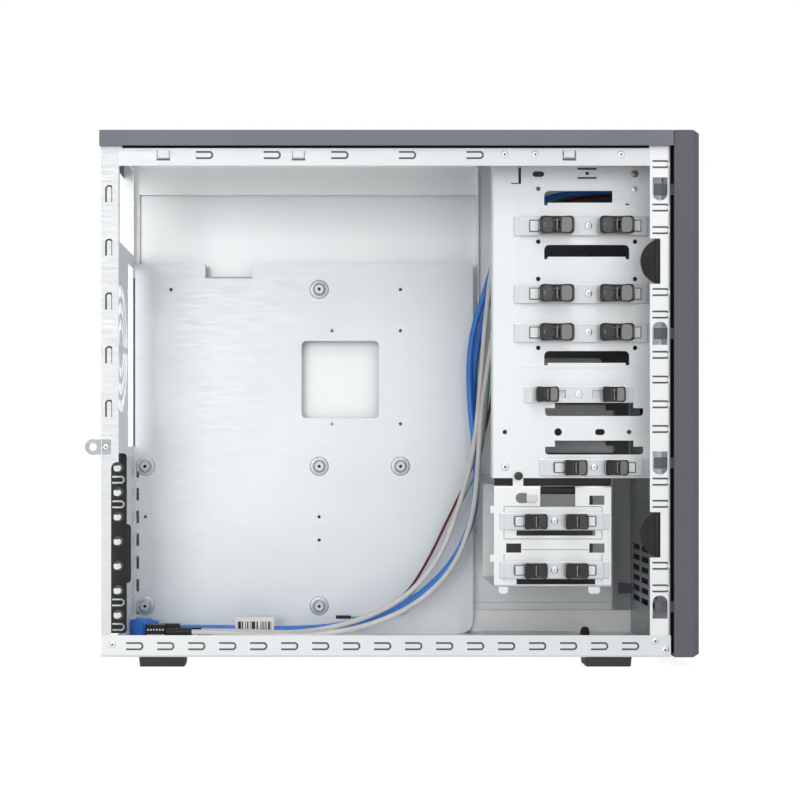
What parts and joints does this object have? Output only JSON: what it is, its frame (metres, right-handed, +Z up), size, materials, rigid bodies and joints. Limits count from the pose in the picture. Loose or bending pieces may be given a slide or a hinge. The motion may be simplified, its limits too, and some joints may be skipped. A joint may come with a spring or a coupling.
{
  "type": "computer case",
  "caption": "Mid-tower computer case with its side open: pierced steel frame, board tray, drive bays with slide locks, slate bezel and lid, front-panel cords.",
  "frame": {"origin": "on the standing surface, under the middle of the case", "axes": "+X to the front bezel, -Y out of the open left side, +Z up"},
  "size_m": [0.492, 0.2, 0.43],
  "materials": {
    "zinc_steel": "zinc plated, satin",
    "slate_paint": "fine textured slate paint",
    "slate_plastic": "fine grained slate plastic",
    "black_gloss": "glossy black",
    "black_plastic": "satin black",
    "black_steel": "black oxide",
    "black_rubber": "matt",
    "white_plastic": "matt white",
    "circuit_board": "lacquered",
    "blue_plastic": "satin blue",
    "grey_plastic": "satin grey",
    "red_plastic": "satin red",
    "green_plastic": "satin green"
  },
  "bodies": {
    "chassis": {"bay_one_lock_strip": "zinc_steel", "bay_three_lock_strip": "zinc_steel", "bay_two_lock_strip": "zinc_steel", "blue_cord_one": "blue_plastic", "blue_cord_two": "blue_plastic", "blue_plug": "blue_plastic", "cable_tag": "white_plastic", "cage_one_lock_strip": "zinc_steel", "cage_two_lock_strip": "zinc_steel", "card_retainer": "black_plastic", "drive_bay_far_wall": "zinc_steel", "drive_bay_near_wall": "zinc_steel", "feet": "black_rubber", "floor_pan": "zinc_steel", "front_bezel": "slate_plastic", "front_panel": "zinc_steel", "front_port_board": "circuit_board", "green_lead": "green_plastic", "grey_cord_one": "grey_plastic", "grey_cord_two": "grey_plastic", "hdd_cage": "zinc_steel", "hdd_cage_handle": "black_plastic", "hdd_cage_latch": "white_plastic", "hdd_cage_screw": "black_steel", "header_plugs": "black_plastic", "large_bay_covers": "slate_plastic", "lead_plugs": "black_plastic", "motherboard_tray": "zinc_steel", "padlock_loop": "zinc_steel", "rear_panel": "zinc_steel", "red_lead": "red_plastic", "right_side_panel": "slate_paint", "slot_covers": "zinc_steel", "small_bay_covers": "slate_plastic", "small_bay_one_lock_strip": "zinc_steel", "small_bay_two_lock_strip": "zinc_steel", "top_cover": "slate_paint", "top_frame": "zinc_steel"},
    "bay_one_lock_rear": {"bay_one_lock_rear": "black_gloss"},
    "bay_one_lock_front": {"bay_one_lock_front": "black_gloss"},
    "bay_two_lock_rear": {"bay_two_lock_rear": "black_gloss"},
    "bay_two_lock_front": {"bay_two_lock_front": "black_gloss"},
    "bay_three_lock_rear": {"bay_three_lock_rear": "black_gloss"},
    "bay_three_lock_front": {"bay_three_lock_front": "black_gloss"},
    "small_bay_one_lock_rear": {"small_bay_one_lock_rear": "black_gloss"},
    "small_bay_one_lock_front": {"small_bay_one_lock_front": "black_gloss"},
    "small_bay_two_lock_rear": {"small_bay_two_lock_rear": "black_gloss"},
    "small_bay_two_lock_front": {"small_bay_two_lock_front": "black_gloss"},
    "cage_one_lock_rear": {"cage_one_lock_rear": "black_gloss"},
    "cage_one_lock_front": {"cage_one_lock_front": "black_gloss"},
    "cage_two_lock_rear": {"cage_two_lock_rear": "black_gloss"},
    "cage_two_lock_front": {"cage_two_lock_front": "black_gloss"},
    "lower_bezel_paddle": {"lower_bezel_paddle": "black_plastic"},
    "upper_bezel_paddle": {"upper_bezel_paddle": "black_plastic"},
    "power_button": {"power_button": "black_gloss"},
    "reset_button": {"reset_button": "black_gloss"}
  },
  "joints": [
    {"name": "bay_one_lock_rear_slide", "type": "slide", "parent": "chassis", "child": "bay_one_lock_rear", "axis": [-1, 0, 0], "range_m": [0, 0.007]},
    {"name": "bay_one_lock_front_slide", "type": "slide", "parent": "chassis", "child": "bay_one_lock_front", "axis": [1, 0, 0], "range_m": [0, 0.007]},
    {"name": "bay_two_lock_rear_slide", "type": "slide", "parent": "chassis", "child": "bay_two_lock_rear", "axis": [-1, 0, 0], "range_m": [0, 0.007]},
    {"name": "bay_two_lock_front_slide", "type": "slide", "parent": "chassis", "child": "bay_two_lock_front", "axis": [1, 0, 0], "range_m": [0, 0.007]},
    {"name": "bay_three_lock_rear_slide", "type": "slide", "parent": "chassis", "child": "bay_three_lock_rear", "axis": [-1, 0, 0], "range_m": [0, 0.007]},
    {"name": "bay_three_lock_front_slide", "type": "slide", "parent": "chassis", "child": "bay_three_lock_front", "axis": [1, 0, 0], "range_m": [0, 0.007]},
    {"name": "small_bay_one_lock_rear_slide", "type": "slide", "parent": "chassis", "child": "small_bay_one_lock_rear", "axis": [1, 0, 0], "range_m": [0, 0.008]},
    {"name": "small_bay_one_lock_front_slide", "type": "slide", "parent": "chassis", "child": "small_bay_one_lock_front", "axis": [-1, 0, 0], "range_m": [0, 0.008]},
    {"name": "small_bay_two_lock_rear_slide", "type": "slide", "parent": "chassis", "child": "small_bay_two_lock_rear", "axis": [-1, 0, 0], "range_m": [0, 0.009]},
    {"name": "small_bay_two_lock_front_slide", "type": "slide", "parent": "chassis", "child": "small_bay_two_lock_front", "axis": [1, 0, 0], "range_m": [0, 0.009]},
    {"name": "cage_one_lock_rear_slide", "type": "slide", "parent": "chassis", "child": "cage_one_lock_rear", "axis": [-1, 0, 0], "range_m": [0, 0.009]},
    {"name": "cage_one_lock_front_slide", "type": "slide", "parent": "chassis", "child": "cage_one_lock_front", "axis": [1, 0, 0], "range_m": [0, 0.009]},
    {"name": "cage_two_lock_rear_slide", "type": "slide", "parent": "chassis", "child": "cage_two_lock_rear", "axis": [-1, 0, 0], "range_m": [0, 0.009]},
    {"name": "cage_two_lock_front_slide", "type": "slide", "parent": "chassis", "child": "cage_two_lock_front", "axis": [1, 0, 0], "range_m": [0, 0.009]},
    {"name": "lower_bezel_paddle_hinge", "type": "hinge", "parent": "chassis", "child": "lower_bezel_paddle", "pos_m": [0.213, -0.0922, 0.1062], "axis": [0, 0, 1], "range_deg": [0, 35], "stiffness_Nm_per_rad": 0.02},
    {"name": "upper_bezel_paddle_hinge", "type": "hinge", "parent": "chassis", "child": "upper_bezel_paddle", "pos_m": [0.213, -0.0922, 0.3255], "axis": [0, 0, 1], "range_deg": [0, 35], "stiffness_Nm_per_rad": 0.02},
    {"name": "power_button_slide", "type": "slide", "parent": "chassis", "child": "power_button", "axis": [-1, 0, 0], "range_m": [0, 0.002], "stiffness_N_per_m": 600},
    {"name": "reset_button_slide", "type": "slide", "parent": "chassis", "child": "reset_button", "axis": [-1, 0, 0], "range_m": [0, 0.002], "stiffness_N_per_m": 600}
  ]
}
